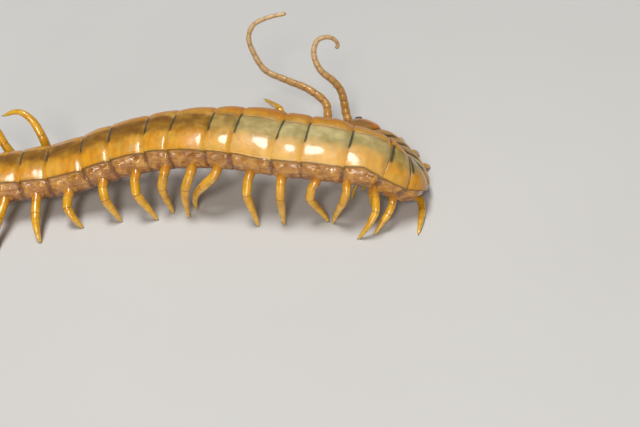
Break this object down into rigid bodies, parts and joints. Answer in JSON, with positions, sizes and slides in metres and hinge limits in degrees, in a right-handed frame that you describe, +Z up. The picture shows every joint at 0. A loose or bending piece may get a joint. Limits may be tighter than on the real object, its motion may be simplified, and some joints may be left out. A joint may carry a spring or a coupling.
{
  "type": "giant centipede model",
  "caption": "Life-size still model of a banded giant centipede, with an arched trunk and the front end turned back on itself.",
  "frame": {"origin": "centre of the bounding box in plan, on the floor under the feet", "axes": "+X from the last legs towards the turn behind the head, +Z up; the near side of the picture faces -Y"},
  "size_m": [0.0952, 0.0352, 0.0156],
  "materials": {
    "back_shell": "glossy, wet-looking",
    "head_shell": "glossy",
    "leg": "glossy, slightly translucent",
    "antenna": "satin, finely haired",
    "venom_claw": "glossy",
    "eye": "glossy black"
  },
  "bodies": {
    "root": {"trunk_segments_01_to_03": "back_shell", "trunk_segments_04_to_06": "back_shell", "trunk_segments_07_to_09": "back_shell", "trunk_segments_10_to_12": "back_shell", "trunk_segments_13_to_15": "back_shell", "trunk_segments_16_to_18": "back_shell", "trunk_segments_19_to_21": "back_shell", "head": "head_shell", "forcipule_plate": "head_shell", "mouthparts": "head_shell", "leg_01_right": "leg", "leg_02_right": "leg", "leg_03_right": "leg", "leg_04_right": "leg", "leg_05_right": "leg", "leg_06_right": "leg", "leg_07_right": "leg", "leg_08_right": "leg", "leg_09_right": "leg", "leg_10_right": "leg", "leg_11_right": "leg", "leg_12_right": "leg", "leg_13_right": "leg", "leg_14_right": "leg", "leg_15_right": "leg", "leg_16_right": "leg", "leg_17_right": "leg", "leg_18_right": "leg", "leg_19_right": "leg", "leg_20_right": "leg", "last_leg_right": "leg", "forcipule_right": "venom_claw", "eye_right": "eye", "antenna_right": "antenna", "leg_01_left": "leg", "leg_02_left": "leg", "leg_03_left": "leg", "leg_04_left": "leg", "leg_05_left": "leg", "leg_06_left": "leg", "leg_07_left": "leg", "leg_08_left": "leg", "leg_09_left": "leg", "leg_10_left": "leg", "leg_11_left": "leg", "leg_12_left": "leg", "leg_13_left": "leg", "leg_14_left": "leg", "leg_15_left": "leg", "leg_16_left": "leg", "leg_17_left": "leg", "leg_18_left": "leg", "leg_19_left": "leg", "leg_20_left": "leg", "last_leg_left": "leg", "forcipule_left": "venom_claw", "eye_left": "eye", "antenna_left": "antenna"}
  },
  "joints": []
}
